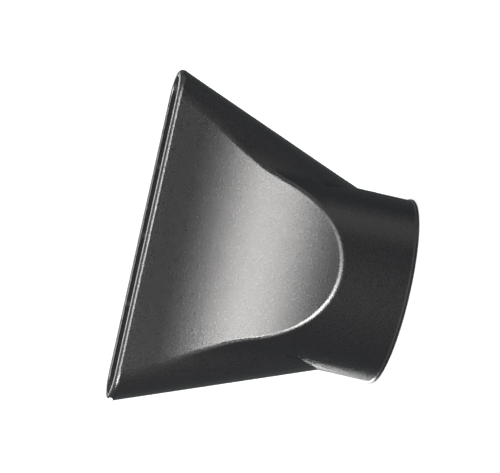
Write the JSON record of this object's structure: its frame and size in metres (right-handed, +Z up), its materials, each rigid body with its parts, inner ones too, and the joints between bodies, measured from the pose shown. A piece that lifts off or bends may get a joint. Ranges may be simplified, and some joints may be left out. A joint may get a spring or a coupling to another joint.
{
  "type": "hair dryer concentrator nozzle",
  "caption": "One-piece black plastic hair dryer nozzle with a round push-on collar that flattens into a wide straight air slot, with a scooped tongue-shaped panel on each broad face.",
  "frame": {"origin": "centre of the collar's inlet end, on the collar's axis, in the plane that it stands on", "axes": "+Z up the collar's axis to the air slot, X along the slot, Y through the slot's thickness; the picture looks at the -Y face"},
  "size_m": [0.0846, 0.0472, 0.065],
  "materials": {
    "black_plastic": "satin, fine moulded grain"
  },
  "bodies": {
    "root": {"concentrator_nozzle": "black_plastic"}
  },
  "joints": []
}
